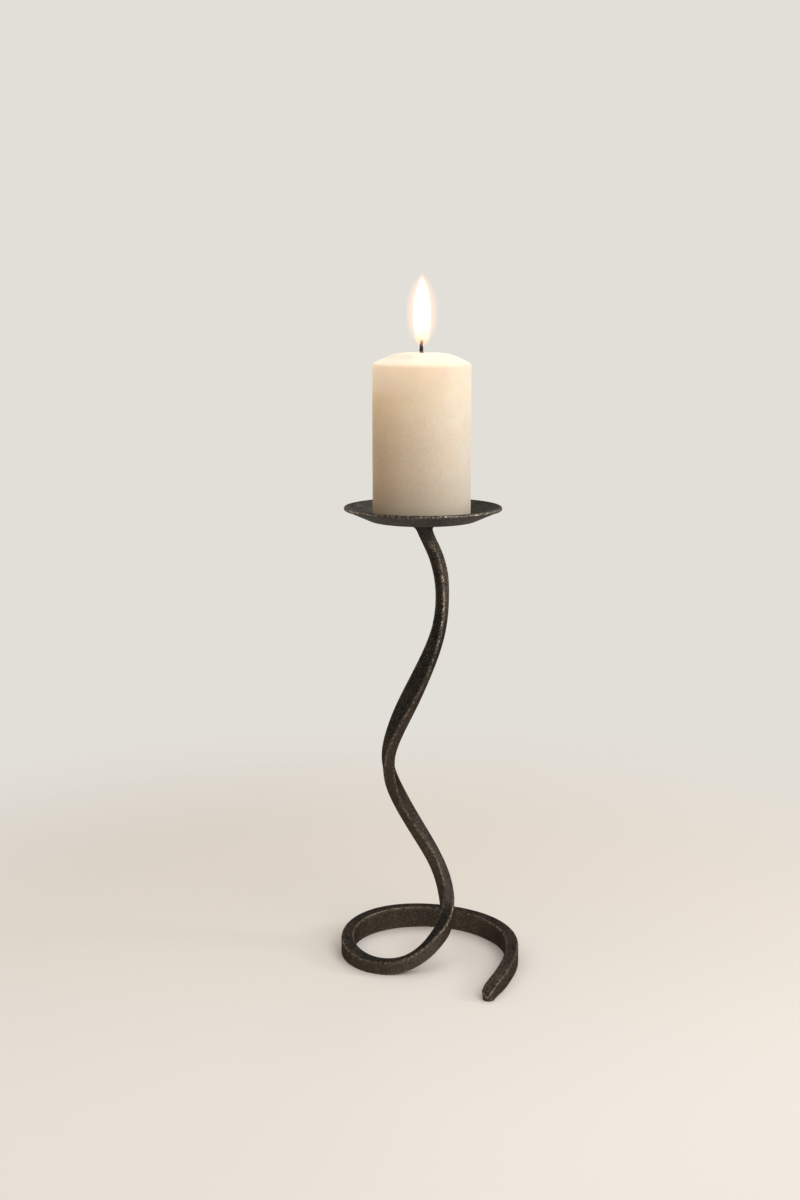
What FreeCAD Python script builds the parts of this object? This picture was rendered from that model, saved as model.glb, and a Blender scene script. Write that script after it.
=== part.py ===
import FreeCAD, Part
import math
import os

Vector = FreeCAD.Vector

# A spiral candle holder forged from one bar. The tail and an open ring of the bar lie on the
# table as the foot, then the bar climbs round the axis of the pan as a spiral. Everything is
# laid out round that axis, in millimetres, with the table at height zero, and moved at the
# end so that the origin is the middle of the foot's outline on the table.

# The bar, from the table to the underside of the pan.
stem_height = 279.0
ring_radius = 47.0
bar_thickness = 8.0
bar_width = 13.8
bar_sections = 72
foot_grinding = 0.4

# One row for each station of the bar, from the tip of the tail to the neck: its turn about
# the axis in degrees, then its distance from the axis as a share of ring_radius, the height of
# its underside as a share of stem_height, its size towards the axis as a share of
# bar_thickness, its size the other way as a share of bar_width, and the radius of its rounded
# edges as a share of bar_thickness.
station_shares = (
    (-64.5, 1.870, 0.000, 0.88, 0.45, 0.26),
    (-61.0, 1.755, 0.000, 0.95, 0.54, 0.24),
    (-55.0, 1.640, 0.000, 0.99, 0.65, 0.22),
    (-45.0, 1.490, 0.000, 0.99, 0.72, 0.20),
    (-32.0, 1.360, 0.000, 0.99, 0.80, 0.20),
    (-16.0, 1.255, 0.000, 0.99, 0.90, 0.20),
    (5.0, 1.160, 0.000, 0.99, 0.96, 0.20),
    (35.0, 1.050, 0.000, 0.99, 0.99, 0.20),
    (65.0, 1.000, 0.000, 0.99, 1.00, 0.20),
    (90.0, 0.990, 0.000, 0.99, 1.03, 0.20),
    (120.0, 1.000, 0.000, 0.99, 1.05, 0.20),
    (150.0, 1.015, 0.000, 0.99, 0.97, 0.20),
    (180.0, 1.015, 0.000, 1.00, 0.79, 0.20),
    (205.0, 0.993, 0.000, 1.07, 0.66, 0.21),
    (230.0, 0.925, 0.000, 1.14, 0.60, 0.22),
    (250.0, 0.800, 0.006, 1.05, 0.60, 0.25),
    (270.0, 0.628, 0.023, 1.00, 0.61, 0.28),
    (290.0, 0.480, 0.040, 1.00, 0.63, 0.31),
    (320.0, 0.365, 0.055, 1.06, 0.66, 0.35),
    (360.0, 0.340, 0.078, 1.02, 0.70, 0.40),
    (405.0, 0.378, 0.154, 1.03, 0.71, 0.40),
    (450.0, 0.410, 0.238, 1.06, 0.73, 0.40),
    (495.0, 0.442, 0.337, 1.00, 0.73, 0.40),
    (540.0, 0.457, 0.440, 1.03, 0.73, 0.40),
    (585.0, 0.402, 0.547, 1.10, 0.84, 0.40),
    (630.0, 0.342, 0.654, 1.04, 0.80, 0.40),
    (675.0, 0.291, 0.749, 1.00, 0.61, 0.40),
    (720.0, 0.255, 0.832, 1.05, 0.62, 0.40),
    (736.0, 0.248, 0.862, 1.05, 0.62, 0.40),
    (745.0, 0.229, 0.886, 1.05, 0.61, 0.40),
    (751.0, 0.193, 0.908, 1.05, 0.61, 0.40),
    (756.0, 0.131, 0.931, 1.05, 0.62, 0.41),
    (759.0, 0.058, 0.954, 1.05, 0.63, 0.42),
    (761.0, 0.000, 0.974, 1.05, 0.65, 0.44),
)

# The rounded edges take at most this share of half the bar's smaller size.
edge_limit_share = 0.9

# The tip of the tail is rounded off over this length, at these shares of it.
tail_rounding = 3.5
tail_rounding_shares = (0.04, 0.15, 0.34, 0.62)

# Head of the stem, spread like a trumpet to carry the pan.
head_radius = 12.5
head_height = 9.5
head_neck_radius = 3.4
head_hollow_share = 0.12

# Candle: a pillar with a sloped shoulder between two edges, and a shallow melted hollow round
# the wick. Pushed on by hand, it stands off the axis of the pan by its offset, to the left.
candle_radius = 30.0
candle_height = 101.0
candle_offset = 0.9
shoulder_drop = 6.6
shoulder_edge_width = 1.4
shoulder_top_radius = 14.8
shoulder_top_rounding = 12.0
melt_pool_radius = 8.5
melt_pool_floor_radius = 6.5
melt_pool_depth = 1.2

# Pan: flat floor with room round the candle, and a flared wall. Its depth is from the rim to
# the underside, and its flare is the reach of the wall beyond the floor.
pan_sheet = 1.8
pan_depth = 9.0
pan_flare = 16.2
pan_bend_radius = 3.0
candle_room = 0.4

# Spike: a square point that stands on the pan's floor, and a round shank that clamps the pan
# to the head.
spike_height = 26.0
spike_base_side = 6.0
spike_point_side = 1.0
shank_radius = 2.0
shank_depth = 6.0
shank_clearance = 0.05
shank_end_gap = 0.3
pan_hole_clearance = 0.15
spike_hole_clearance = 0.3
spike_hole_spare = 2.0

# Wick and flame, measured from the flat top of the candle.
wick_radius = 1.1
wick_height = 6.6
wick_top_narrowing = 0.4
wick_clearance = 0.05
wick_lower_gap = 3.0
flame_lift = 3.4
flame_height = 40.6
flame_radius = 5.5
flame_wick_clearance = 0.15

# Outline of the flame from its foot to its tip: shares of flame_radius and of flame_height.
# The flame is only glowing gas, so it has this many flat sides instead of a round one.
flame_sides = 24
flame_shares = (
    (0.54, 0.00),
    (0.76, 0.09),
    (0.92, 0.22),
    (1.00, 0.42),
    (0.94, 0.60),
    (0.76, 0.76),
    (0.47, 0.90),
    (0.06, 1.00),
)

# One overrun for every cut.
overrun = 2.0

# Heights that follow from the sizes above.
pan_floor_top = stem_height + pan_sheet
rim_height = stem_height + pan_depth
candle_top = pan_floor_top + candle_height
spike_hole_top = pan_floor_top + spike_height + spike_hole_spare
wick_bottom = spike_hole_top + wick_lower_gap


def save(shape, name):
    os.makedirs("parts", exist_ok=True)
    shape.exportStep("parts/" + name + ".step")


def line(start, end):
    return Part.LineSegment(start, end).toShape()


def arc(start, middle, end):
    return Part.Arc(start, middle, end).toShape()


def bulged_arc(start, end, bulge_share):
    """Arc whose middle stands off its chord, to the left of the way from start to end."""
    chord = end - start
    sideways = Vector(-chord.z, 0, chord.x)
    return arc(start, start + chord / 2 + sideways * bulge_share, end)


def outline_point(radius, height):
    return Vector(radius, 0, height)


def rounded_edges(corners):
    """Closed outline through corners of (radius, height, rounding), in order round it."""
    points = [outline_point(radius, height) for radius, height, rounding in corners]
    bends = []
    for number, corner in enumerate(points):
        rounding = corners[number][2]
        if rounding == 0:
            bends.append((corner, corner, []))
            continue
        back = (points[number - 1] - corner).normalize()
        ahead = (points[(number + 1) % len(points)] - corner).normalize()
        half_angle = back.getAngle(ahead) / 2
        bisector = (back + ahead).normalize()
        start = corner + back * rounding / math.tan(half_angle)
        end = corner + ahead * rounding / math.tan(half_angle)
        middle = corner + bisector * (rounding / math.sin(half_angle) - rounding)
        bends.append((start, end, [arc(start, middle, end)]))
    edges = []
    for number, (start, end, bend) in enumerate(bends):
        following = bends[(number + 1) % len(bends)][0]
        edges += bend + [line(end, following)]
    return edges


def revolved(edges):
    """Solid from a closed half outline turned round the axis of the pan."""
    face = Part.Face(Part.Wire(edges))
    return face.revolve(Vector(0, 0, 0), Vector(0, 0, 1), math.degrees(2 * math.pi))


def cylinder(radius, bottom, top):
    return Part.makeCylinder(radius, top - bottom, Vector(0, 0, bottom))


def flat_sided(levels, sides):
    """Solid of flat faces round the axis of the pan, through level regular polygons.

    Each level is the distance of the sides from the axis, and the height.
    """
    polygons = []
    for reach, height in levels:
        polygon = []
        for number in range(sides):
            turn = 2 * math.pi * (number + 1 / 2) / sides
            corner_radius = reach / math.cos(math.pi / sides)
            corner = Vector(math.cos(turn), math.sin(turn), 0) * corner_radius
            polygon.append(corner + Vector(0, 0, height))
        polygons.append(polygon)
    outlines = [polygons[0], polygons[-1]]
    for lower, upper in zip(polygons, polygons[1:]):
        for number in range(sides):
            outlines.append([lower[number - 1], lower[number], upper[number], upper[number - 1]])
    faces = [Part.Face(Part.makePolygon(corners + corners[:1])) for corners in outlines]
    return Part.Solid(Part.Shell(faces))


def square_point(bottom_side, top_side, bottom, top):
    """Blunt four-sided pyramid round the axis of the pan."""
    return flat_sided([(bottom_side / 2, bottom), (top_side / 2, top)], 4)


def bar_stations():
    """Middle of the bar, its turn and its sizes at each station."""
    stations = []
    for turn, reach, rise, thickness, width, rounding in station_shares:
        angle = math.radians(turn)
        radius = reach * ring_radius
        middle = rise * stem_height + width * bar_width / 2 - foot_grinding
        place = Vector(radius * math.cos(angle), radius * math.sin(angle), middle)
        sizes = Vector(thickness * bar_thickness, width * bar_width, rounding * bar_thickness)
        stations.append((place, turn, sizes))
    return stations


def smooth_curve(points, parameters):
    curve = Part.BSplineCurve()
    curve.interpolate(Points=points, Parameters=parameters)
    return curve


def section_wire(centre, outward, upward, thickness, width, rounding):
    """Rounded rectangle, thickness wide along outward and width high along upward."""
    half_thickness = thickness / 2
    half_width = width / 2
    radius = min(rounding, min(half_thickness, half_width) * edge_limit_share)
    diagonal = radius * math.sqrt(0.5)
    corners = []
    for across_sign, along_sign in ((1, 1), (-1, 1), (-1, -1), (1, -1)):
        across = across_sign * (half_thickness - radius)
        along = along_sign * (half_width - radius)
        side_point = (across + across_sign * radius, along)
        middle_point = (across + across_sign * diagonal, along + along_sign * diagonal)
        end_point = (across, along + along_sign * radius)
        if across_sign == along_sign:
            corners.append((side_point, middle_point, end_point))
        else:
            corners.append((end_point, middle_point, side_point))

    def place(point):
        return centre + outward * point[0] + upward * point[1]

    edges = []
    for count, (start, middle, end) in enumerate(corners):
        following = corners[(count + 1) % len(corners)][0]
        edges.append(arc(place(start), place(middle), place(end)))
        edges.append(line(place(end), place(following)))
    return Part.Wire(edges)


def bar_loft():
    """The whole bar as one loft through sections square to its middle line."""
    stations = bar_stations()
    spots = [0.0]
    for station, previous in zip(stations[1:], stations):
        spots.append(spots[-1] + station[0].distanceToPoint(previous[0]))
    path = smooth_curve([station[0] for station in stations], spots)
    turned = []
    sized = []
    for spot, (place, turn, sizes) in zip(spots, stations):
        turned.append(Vector(turn, sizes.z, spot))
        sized.append(Vector(sizes.x, sizes.y, spot))
    turns = smooth_curve(turned, spots)
    sizes_along = smooth_curve(sized, spots)

    cuts = [(share * tail_rounding, share) for share in tail_rounding_shares]
    plain_length = spots[-1] - tail_rounding
    for step in range(bar_sections + 1):
        cuts.append((tail_rounding + plain_length * step / bar_sections, 1.0))

    wires = []
    for spot, share in cuts:
        centre = path.value(spot)
        tangent = path.tangent(spot)[0]
        angle = math.radians(turns.value(spot).x)
        outward = Vector(math.cos(angle), math.sin(angle), 0)
        outward = outward - tangent * outward.dot(tangent)
        outward.normalize()
        upward = outward.cross(tangent)
        roundness = math.sqrt(1 - (1 - share) ** 2)
        thickness = sizes_along.value(spot).x * roundness
        full_width = sizes_along.value(spot).y
        width = full_width * (1 + roundness) / 2
        lowered = centre - upward * (full_width - width) / 2
        rounding = turns.value(spot).y
        wires.append(section_wire(lowered, outward, upward, thickness, width, rounding))
    return Part.makeLoft(wires, True, True)


def stem_head():
    """Trumpet that spreads from the neck to the underside of the pan."""
    bottom = stem_height - head_height
    inner = outline_point(head_neck_radius, bottom)
    outer = outline_point(head_radius, stem_height)
    top_middle = outline_point(0, stem_height)
    bottom_middle = outline_point(0, bottom)
    return revolved([
        line(bottom_middle, inner),
        bulged_arc(inner, outer, head_hollow_share),
        line(outer, top_middle),
        line(top_middle, bottom_middle),
    ])


def make_stem_bar():
    """Bar with its head, ground flat underneath and bored for the spike's shank."""
    reach = 3 * ring_radius
    below_table = Part.makeBox(
        2 * reach, 2 * reach, stem_height, Vector(-reach, -reach, -stem_height)
    )
    bar = bar_loft().cut(below_table)
    bore_radius = shank_radius + shank_clearance
    bore = cylinder(bore_radius, stem_height - shank_depth, stem_height + overrun)
    return bar.fuse(stem_head()).cut(bore)


def make_drip_pan():
    """Dish of one sheet thickness: floor and wall are parallel pairs of lines."""
    slope = math.atan2(pan_depth - pan_sheet, pan_flare)
    half_turn = math.tan(slope / 2)
    hole = shank_radius + pan_hole_clearance
    floor_radius = candle_radius + candle_offset + candle_room
    inner_corner = floor_radius + pan_bend_radius * half_turn
    outer_corner = inner_corner + pan_sheet * half_turn
    inner_rim = inner_corner + pan_flare
    outer_rim = inner_rim + pan_sheet * math.sin(slope)
    outer_rim_height = rim_height - pan_sheet * math.cos(slope)
    return revolved(rounded_edges([
        (hole, stem_height, 0),
        (outer_corner, stem_height, pan_bend_radius + pan_sheet),
        (outer_rim, outer_rim_height, 0),
        (inner_rim, rim_height, 0),
        (inner_corner, pan_floor_top, pan_bend_radius),
        (hole, pan_floor_top, 0),
    ]))


def make_candle_spike():
    """Point and shank in one piece, with the point's base on the pan's floor."""
    spike_top = pan_floor_top + spike_height
    point = square_point(spike_base_side, spike_point_side, pan_floor_top, spike_top)
    shank = cylinder(shank_radius, stem_height - shank_depth + shank_end_gap, pan_floor_top)
    return point.fuse(shank)


def pushed_on(shape):
    """The shape moved from the axis of the pan to the candle's own axis."""
    shape.translate(Vector(-candle_offset, 0, 0))
    return shape


def make_pillar_candle():
    """Pillar of wax, pierced by the spike from below and by the wick from above."""
    wax = revolved(rounded_edges([
        (0, pan_floor_top, 0),
        (candle_radius, pan_floor_top, 0),
        (candle_radius, candle_top - shoulder_drop - shoulder_edge_width, 0),
        (candle_radius - shoulder_edge_width, candle_top - shoulder_drop, 0),
        (shoulder_top_radius, candle_top, shoulder_top_rounding),
        (melt_pool_radius, candle_top, 0),
        (melt_pool_floor_radius, candle_top - melt_pool_depth, 0),
        (0, candle_top - melt_pool_depth, 0),
    ]))
    wick_hole = cylinder(wick_radius + wick_clearance, wick_bottom, candle_top)
    candle = pushed_on(wax.cut(wick_hole))
    spike_hole = square_point(
        spike_base_side + 2 * spike_hole_clearance,
        spike_point_side + 2 * spike_hole_clearance,
        pan_floor_top,
        spike_hole_top,
    )
    return candle.cut(spike_hole)


def make_wick():
    top = candle_top + wick_height
    return pushed_on(revolved(rounded_edges([
        (0, wick_bottom, 0),
        (wick_radius, wick_bottom, 0),
        (wick_radius, top - wick_top_narrowing, 0),
        (wick_radius - wick_top_narrowing, top, 0),
        (0, top, 0),
    ])))


def make_flame():
    """Drop with a narrow tip, hollow underneath where the top of the wick stands in it."""
    foot = candle_top + flame_lift
    levels = []
    for radius_share, height_share in flame_shares:
        levels.append((radius_share * flame_radius, foot + height_share * flame_height))
    socket_top = candle_top + wick_height + flame_wick_clearance
    socket = cylinder(wick_radius + flame_wick_clearance, foot - overrun, socket_top)
    return pushed_on(flat_sided(levels, flame_sides).cut(socket))


def main():
    nodes = {
        "stem_bar": make_stem_bar(),
        "drip_pan": make_drip_pan(),
        "candle_spike": make_candle_spike(),
        "pillar_candle": make_pillar_candle(),
        "wick": make_wick(),
        "flame": make_flame(),
    }
    foot = nodes["stem_bar"].optimalBoundingBox(False)
    to_origin = Vector(-foot.Center.x, -foot.Center.y, 0)
    print("axis of the pan from the origin:", to_origin)
    for name, shape in nodes.items():
        solid = shape.Solids[0]
        solid.translate(to_origin)
        save(solid, name)


if __name__ == "__main__":
    main()
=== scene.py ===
import math

import bpy
import numpy as np
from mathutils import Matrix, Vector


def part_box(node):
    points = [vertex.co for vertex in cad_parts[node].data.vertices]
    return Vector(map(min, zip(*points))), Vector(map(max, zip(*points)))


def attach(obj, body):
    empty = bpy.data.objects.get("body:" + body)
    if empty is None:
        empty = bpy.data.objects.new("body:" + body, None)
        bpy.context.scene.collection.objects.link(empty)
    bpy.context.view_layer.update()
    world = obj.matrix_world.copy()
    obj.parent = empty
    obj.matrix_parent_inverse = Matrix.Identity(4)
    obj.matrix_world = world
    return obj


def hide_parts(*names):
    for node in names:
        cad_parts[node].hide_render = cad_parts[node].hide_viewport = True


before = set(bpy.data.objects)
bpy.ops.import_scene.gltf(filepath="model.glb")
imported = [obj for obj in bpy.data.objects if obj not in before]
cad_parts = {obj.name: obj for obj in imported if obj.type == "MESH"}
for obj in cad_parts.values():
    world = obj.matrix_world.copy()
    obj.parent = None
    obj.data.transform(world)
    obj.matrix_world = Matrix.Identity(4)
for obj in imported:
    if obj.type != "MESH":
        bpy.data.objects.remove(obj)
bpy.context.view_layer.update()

# A forged spiral candle holder with a lit pillar candle. All lengths are in metres, in the frame
# of the construction. Its nodes give the axes of the pan and of the candle, the heights, and the
# sizes of the pieces across.
MM = 0.001
FULL_TURN = 2 * math.pi

pan_low, pan_high = [np.array(corner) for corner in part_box("drip_pan")]
candle_low, candle_high = [np.array(corner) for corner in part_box("pillar_candle")]
wick_low, wick_high = [np.array(corner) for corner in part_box("wick")]
flame_low, flame_high = [np.array(corner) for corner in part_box("flame")]
spike_low, spike_high = [np.array(corner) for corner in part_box("candle_spike")]
PAN_AXIS = (pan_low + pan_high)[:2] / 2
CANDLE_AXIS = (candle_low + candle_high)[:2] / 2
PAN_UNDERSIDE = pan_low[2]
PAN_RADIUS = (pan_high - pan_low)[0] / 2
RIM_HEIGHT = pan_high[2]
PAN_FLOOR = candle_low[2]
PAN_SHEET = PAN_FLOOR - PAN_UNDERSIDE
SPIKE_BASE_SIDE = (spike_high - spike_low)[0]
CANDLE_TOP = candle_high[2]
CANDLE_RADIUS = (candle_high - candle_low)[0] / 2
WICK_RADIUS = (wick_high - wick_low)[0] / 2
FLAME_RADIUS = (flame_high - flame_low)[0] / 2

# The bar, from the tip of the tail to the head, in millimetres and degrees. Each row is the turn
# about the axis of the pan, the distance from that axis, the height of the middle of the bar,
# the size of its section across and along, the radius of its rounded edges, and the way that
# the section's outward side faces. On the ring it faces away from the axis. Where the bar
# climbs it turns less than the bar does, and near the head it turns back a little.
STATIONS = np.array([
    (-64.5, 87.9, 2.7, 7.0, 6.2, 0.9, -64.5),
    (-61, 82.5, 3.3, 7.6, 7.5, 0.9, -61),
    (-55, 77.1, 4.1, 7.9, 9.0, 0.9, -55),
    (-45, 70.0, 4.6, 7.9, 9.9, 0.9, -45),
    (-32, 63.9, 5.1, 7.9, 11.0, 0.9, -32),
    (-16, 59.0, 5.8, 7.9, 12.4, 0.9, -16),
    (5, 54.5, 6.2, 7.9, 13.2, 0.9, 5),
    (35, 49.4, 6.4, 7.9, 13.7, 0.9, 35),
    (65, 47.0, 6.5, 7.9, 13.8, 0.9, 65),
    (90, 46.5, 6.7, 7.9, 14.2, 0.9, 90),
    (120, 47.0, 6.8, 7.9, 14.5, 0.9, 120),
    (150, 47.7, 6.3, 7.9, 13.4, 0.9, 150),
    (180, 47.7, 5.1, 8.0, 10.9, 0.9, 180),
    (205, 46.7, 4.2, 8.6, 9.1, 0.9, 205),
    (230, 43.5, 3.7, 9.1, 8.3, 1.3, 230),
    (250, 37.6, 5.4, 8.4, 8.3, 1.4, 250),
    (270, 29.5, 10.2, 8.0, 8.4, 1.5, 270),
    (290, 22.6, 15.1, 8.0, 8.7, 1.7, 290),
    (320, 17.2, 19.5, 8.4, 8.9, 1.9, 320),
    (360, 16.0, 26.2, 8.2, 9.2, 2.0, 362),
    (405, 17.8, 47.5, 8.1, 8.7, 2.0, 406),
    (450, 19.3, 71.0, 8.5, 8.8, 2.0, 409),
    (495, 20.8, 98.7, 8.8, 8.6, 2.0, 412),
    (540, 21.5, 127.4, 8.1, 7.3, 1.9, 464),
    (585, 18.9, 158.0, 10.6, 8.8, 2.2, 496),
    (630, 16.1, 187.6, 10.4, 8.7, 2.2, 522),
    (675, 13.7, 212.8, 7.9, 7.3, 2.0, 512),
    (720, 12.0, 236.0, 7.3, 7.0, 1.9, 496),
    (736, 11.7, 244.4, 7.6, 7.5, 2.0, 496),
    (745, 10.8, 251.0, 7.7, 7.5, 2.0, 499),
    (751, 9.1, 257.1, 7.7, 7.5, 2.1, 502),
    (756, 6.2, 263.6, 7.7, 7.6, 2.3, 503),
    (759, 2.7, 270.1, 7.8, 7.7, 2.6, 503),
    (761, 0.0, 275.8, 8.1, 8.0, 3.0, 503),
])

# The tail's tip is drawn in over its rounding. The radius of an edge is at most a share of half
# the section.
TAIL_ROUNDING = 3.5 * MM
TAIL_RINGS = 14
TAIL_FIRST_SHARE = 0.01
BAR_STEP = 0.6 * MM
BAR_FLAT_POINTS = 6
BAR_ARC_POINTS = 9
BAR_EDGE_MOST = 0.9
HAMMER_SPACING = 13.0 * MM
HAMMER_DEPTH = 0.05 * MM
HAMMER_SEED = 11

# Wear and painted highlight of the bar: the bare tone along its edges is partly wear and partly
# painted highlight, more on the ring's edges than on the stem's. Up the stem to the neck the
# edges carry a wider painted highlight streak. At the neck it mostly goes, as painted shade. The
# sides of the section lose their painted brown sheen between the two shade heights, as painted
# shade. The tip of the tail gets full wear and painted highlight, and the top of the tail near
# its tip is paler.
EDGE_WEAR_AND_HIGHLIGHT_REACH = 0.8 * MM
HIGHLIGHT_STREAK_REACH = 1.5 * MM
HIGHLIGHT_STREAK_LOW = 200.0 * MM
HIGHLIGHT_STREAK_FULL = 226.0 * MM
NECK_LOW = 263.0 * MM
NECK_HIGH = 267.5 * MM
NECK_PAINTED_SHADE_LOSS = 0.95
PAINTED_SHADE_LOW = 172.0 * MM
PAINTED_SHADE_FULL = 205.0 * MM
PAINTED_SHADE_SHARE = 0.95
RING_TOP = 14.0 * MM
STEM_START = 40.0 * MM
RING_WEAR_AND_HIGHLIGHT_SHARE = 0.9
STEM_WEAR_AND_HIGHLIGHT_SHARE = 0.75
TIP_WEAR_AND_HIGHLIGHT_LENGTH = 9.0 * MM
TAIL_TOP_PALE = 0.4
TAIL_TOP_FULL = 25.0 * MM
TAIL_TOP_END = 48.0 * MM

# The head of the stem spreads from the bar like a trumpet. Below it the rings of the bar turn
# level, between these two heights, which takes the climb of the bar as no less than the least.
LEVEL_START = 236.0 * MM
LEVEL_END = 256.0 * MM
LEAST_CLIMB = 0.5
HEAD_START = 265.0 * MM
HEAD_RADIUS = 12.5 * MM
HEAD_POWER = 2.2
HEAD_FILLET = 1.6 * MM
HEAD_FILLET_RISE = 1 / 3

# The pan. Each wave has a share of the depth, a count round the pan and a start.
PAN_BEND_RADIUS = 3.6 * MM
PAN_FLARE = 16.2 * MM
PAN_BEAD_RADIUS = 1.15 * MM
PAN_BEAD_POINTS = 19
PAN_HOLE_RADIUS = 2.15 * MM
PAN_AROUND = 180
PAN_STEP = 1.0 * MM
PAN_WAVE = 0.05 * MM
PAN_WAVES = ((1.0, 3, 0.7), (0.6, 7, 2.1))
# The rim's bare line along the bead is wear and a painted highlight.
RIM_WEAR_AND_HIGHLIGHT_REACH = 0.8 * MM

# The spike. The corner shares are of half its side: where a corner is cut, and where its wear
# starts.
SPIKE_POINT_SIDE = 1.0 * MM
SHANK_RADIUS = 2.0 * MM
SHANK_RINGS = 8
POINT_RINGS = 40
POINT_CROWDING = 0.8
SPIKE_AROUND = 48
SPIKE_CORNER_SHARE = 1.32
SPIKE_WEAR_SHARE = 1.15

# The candle.
SHOULDER_DROP = 7.3 * MM
SHOULDER_TOP_RADIUS = 16.5 * MM
SHOULDER_ROUNDING = 26.0 * MM
CORNER_ROUNDING = 2.4 * MM
FOOT_ROUNDING = 0.6 * MM
WAX_SUNK = 0.9 * MM
MELT_POOL_RADIUS = 8.5 * MM
MELT_POOL_DEPTH = 0.8 * MM
MELT_POOL_SLOPE = 2.4 * MM
MELT_POOL_LIP = 1.6 * MM
MELT_POOL_ROUNDING = 2.0 * MM
SPIKE_HOLE_CLEARANCE = 0.3 * MM
SPIKE_HOLE_DEPTH = 28.0 * MM
TOLERANCE = 0.001 * MM
CANDLE_AROUND = 144
CANDLE_STEP = 1.0 * MM
WAX_WAVE = 0.06 * MM
WAX_WAVE_START = 1.1
WAX_SECOND_WAVE = 0.7
WAX_WAVE_CLIMB = 21.0 * MM
WAX_WAVE_INNER = 0.70
WAX_WAVE_OUTER = 0.95

# The wick. The swells are shares of its radius.
WICK_BASE_SHARE = 0.86
WICK_AROUND = 42
WICK_STEP = 1.5 * MM
WICK_FINE_STEP = 0.14 * MM
WICK_FINE_DEPTH = 3.0 * MM
WICK_TIP = 0.4 * MM
WICK_TIP_RINGS = 6
WICK_TIP_REACH = 0.46 * MM
WICK_TIP_START = 0.45 * MM
WICK_TIP_LEAST = 0.01
WICK_CONE_SHARE = 1.8
WICK_CONE_TOP_SHARE = 0.8
WICK_CONE_HEIGHT = 0.7 * MM
WICK_CONE_ROUNDING = 0.6 * MM
STRANDS = 3
STRAND_SWELL = 0.10
STRAND_TURN = 9.0 * MM
KNOB_SWELL = 0.09
KNOB_SPACING = 0.9 * MM
KNOB_SEED = 5
BULGE_SWELL = 0.22
BULGE_HEIGHT = 2.2 * MM
BULGE_REACH = 1.5 * MM
THINNING = 0.10
THINNING_HEIGHT = 4.0 * MM
THINNING_REACH = 3.0 * MM
WICK_BEND = 0.35 * MM
WICK_BEND_TURN = 3.0

# The flame, as shares of its height and of its widest radius, and its shells inside and round it.
FLAME_PROFILE = np.array([
    (0.0, 0.30), (0.04, 0.62), (0.12, 0.80), (0.24, 0.92), (0.50, 1.00),
    (0.64, 0.93), (0.76, 0.77), (0.86, 0.55), (0.94, 0.29), (1.0, 0.02),
])
FLAME_RINGS = 90
FLAME_AROUND = 48
CORE_WIDTH_SHARE = 0.86
CORE_TIP_SHARE = 0.95
HALO_FOOT_SHARE = 0.04
HALO_MARGINS = (2.0 * MM, 4.4 * MM)

# Spacing of the grain, flecks and patches of the iron and of the wax, and the depth of the grain.
IRON_GRAIN = 0.65 * MM
IRON_SPECKLE = 1.1 * MM
IRON_COARSE = 1.9 * MM
IRON_PATCHES = 15.0 * MM
IRON_RELIEF = 0.14 * MM
FILED_RELIEF = 0.04 * MM
WAX_GRAIN = 1.0 * MM
WAX_MOTTLE = 9.0 * MM
WAX_RELIEF = 0.12 * MM
CHAR_CRUST = 0.45 * MM
CHAR_FLECKS = 0.8 * MM
CHAR_RELIEF = 0.15 * MM

# Tones of the iron: dark, brown and bare. The brown also paints the floor's light reflected on
# the bar's sides, and the bare also paints highlights along the edges, besides flecks and wear.
BAR_TONES = ((0.022, 0.0215, 0.021, 1), (0.064, 0.052, 0.041, 1), (0.42, 0.34, 0.25, 1))
PAN_TONES = ((0.040, 0.039, 0.037, 1), (0.090, 0.082, 0.071, 1), (0.50, 0.44, 0.36, 1))
SPIKE_TONES = ((0.10, 0.095, 0.09, 1), (0.14, 0.12, 0.10, 1), (0.45, 0.41, 0.36, 1))

# Tones of the wax, and how far they reach down from its top or up from its foot; the low and foot
# tones are painted shade, darker towards the pan. Its painted glow, emission that lightens the
# shaded left side near the flame, lies round a place left of the axis and below the top. Each
# glow has the distances at which it is full and at which it ends, and both fade up the shoulder,
# from its low depth to its high one. The pool is wet inside its radius, and the wick is soaked
# from its start to its depth.
WAX_TONE = (0.80, 0.715, 0.58, 1)
WAX_PALE_TONE = (0.83, 0.75, 0.62, 1)
WAX_LOW_SHADE_TONE = (0.63, 0.575, 0.475, 1)
WAX_FOOT_SHADE_TONE = (0.42, 0.35, 0.27, 1)
WAX_SPOT_TONE = (0.42, 0.34, 0.24, 1)
WAX_PAINTED_GLOW = (0.56, 0.42, 0.245, 1)
WAX_PAINTED_BRIGHT_GLOW = (0.96, 0.88, 0.76, 1)
WAX_LOW_START = 45.0 * MM
WAX_FOOT_HEIGHT = 13.0 * MM
WAX_SPOT_REACH = 70.0 * MM
WAX_LIGHT_DEPTH = 10.0 * MM
GLOW_LEFT = 6.5 * MM
GLOW_DEPTH = 7.0 * MM
GLOW_FULL = 14.0 * MM
GLOW_END = 60.0 * MM
BRIGHT_GLOW_FULL = 17.0 * MM
BRIGHT_GLOW_END = 35.0 * MM
SHOULDER_GLOW_HIGH = 2.0 * MM
SHOULDER_GLOW_LOW = 8.0 * MM
WET_RADIUS = 6.6 * MM
WET_END = 7.6 * MM
WET_DEPTH = 3.0 * MM
WET_FULL_DEPTH = 2.0 * MM
SOAKED_START = 0.4 * MM
SOAKED_DEPTH = 1.0 * MM

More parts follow.
